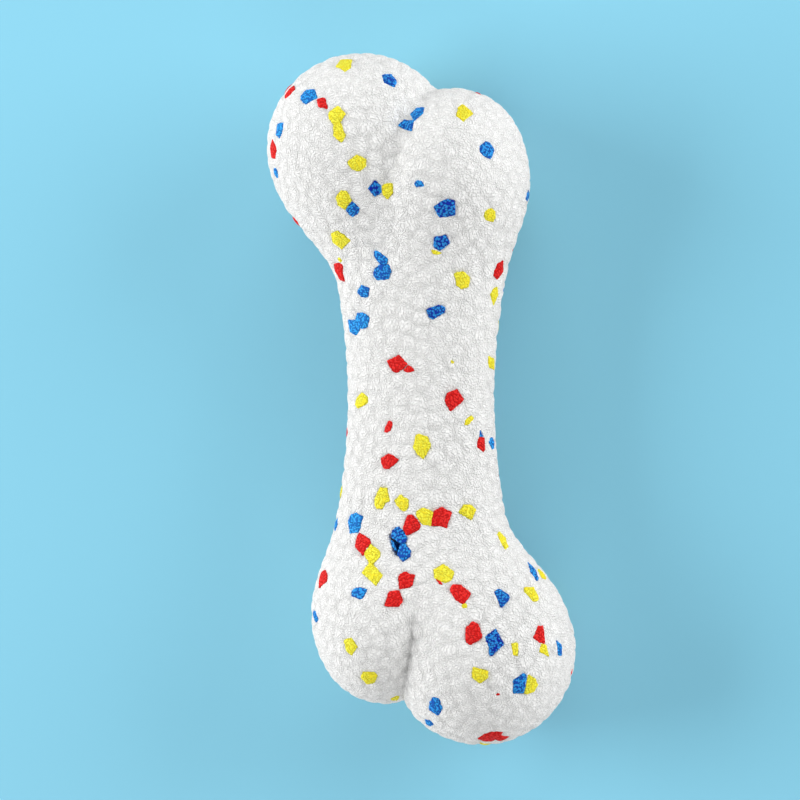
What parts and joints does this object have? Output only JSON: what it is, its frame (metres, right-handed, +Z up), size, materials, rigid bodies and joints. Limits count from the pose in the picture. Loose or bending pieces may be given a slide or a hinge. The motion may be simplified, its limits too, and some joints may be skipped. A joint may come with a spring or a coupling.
{
  "type": "dog toy",
  "caption": "Bone-shaped dog toy of moulded bead foam, white with scattered red, yellow and blue beads.",
  "frame": {"origin": "middle of the bone's box at floor level, z = 0 under the four lobes", "axes": "+X along the bone, +Y across it in the plane of the four lobes, +Z up through its thickness"},
  "size_m": [0.1548, 0.0698, 0.0412],
  "materials": {
    "white_foam": "soft white expanded-bead foam with a fine wrinkled skin on each bead",
    "red_foam": "soft red expanded bead",
    "yellow_foam": "soft yellow expanded bead",
    "blue_foam": "soft blue expanded bead"
  },
  "bodies": {
    "root": {"foam_body": "white_foam", "red_bead_01": "red_foam", "red_bead_02": "red_foam", "red_bead_03": "red_foam", "red_bead_04": "red_foam", "red_bead_05": "red_foam", "red_bead_06": "red_foam", "red_bead_07": "red_foam", "red_bead_08": "red_foam", "red_bead_09": "red_foam", "red_bead_10": "red_foam", "red_bead_11": "red_foam", "red_bead_12": "red_foam", "red_bead_13": "red_foam", "red_bead_14": "red_foam", "red_bead_15": "red_foam", "red_bead_16": "red_foam", "red_bead_17": "red_foam", "red_bead_18": "red_foam", "red_bead_19": "red_foam", "yellow_bead_01": "yellow_foam", "yellow_bead_02": "yellow_foam", "yellow_bead_03": "yellow_foam", "yellow_bead_04": "yellow_foam", "yellow_bead_05": "yellow_foam", "yellow_bead_06": "yellow_foam", "yellow_bead_07": "yellow_foam", "yellow_bead_08": "yellow_foam", "yellow_bead_09": "yellow_foam", "yellow_bead_10": "yellow_foam", "yellow_bead_11": "yellow_foam", "yellow_bead_12": "yellow_foam", "yellow_bead_13": "yellow_foam", "yellow_bead_14": "yellow_foam", "yellow_bead_15": "yellow_foam", "yellow_bead_16": "yellow_foam", "yellow_bead_17": "yellow_foam", "yellow_bead_18": "yellow_foam", "yellow_bead_19": "yellow_foam", "yellow_bead_20": "yellow_foam", "yellow_bead_21": "yellow_foam", "yellow_bead_22": "yellow_foam", "yellow_bead_23": "yellow_foam", "blue_bead_01": "blue_foam", "blue_bead_02": "blue_foam", "blue_bead_03": "blue_foam", "blue_bead_04": "blue_foam", "blue_bead_05": "blue_foam", "blue_bead_06": "blue_foam", "blue_bead_07": "blue_foam", "blue_bead_08": "blue_foam", "blue_bead_09": "blue_foam", "blue_bead_10": "blue_foam", "blue_bead_11": "blue_foam", "blue_bead_12": "blue_foam", "blue_bead_13": "blue_foam", "blue_bead_14": "blue_foam", "blue_bead_15": "blue_foam", "blue_bead_16": "blue_foam", "blue_bead_17": "blue_foam"}
  },
  "joints": []
}
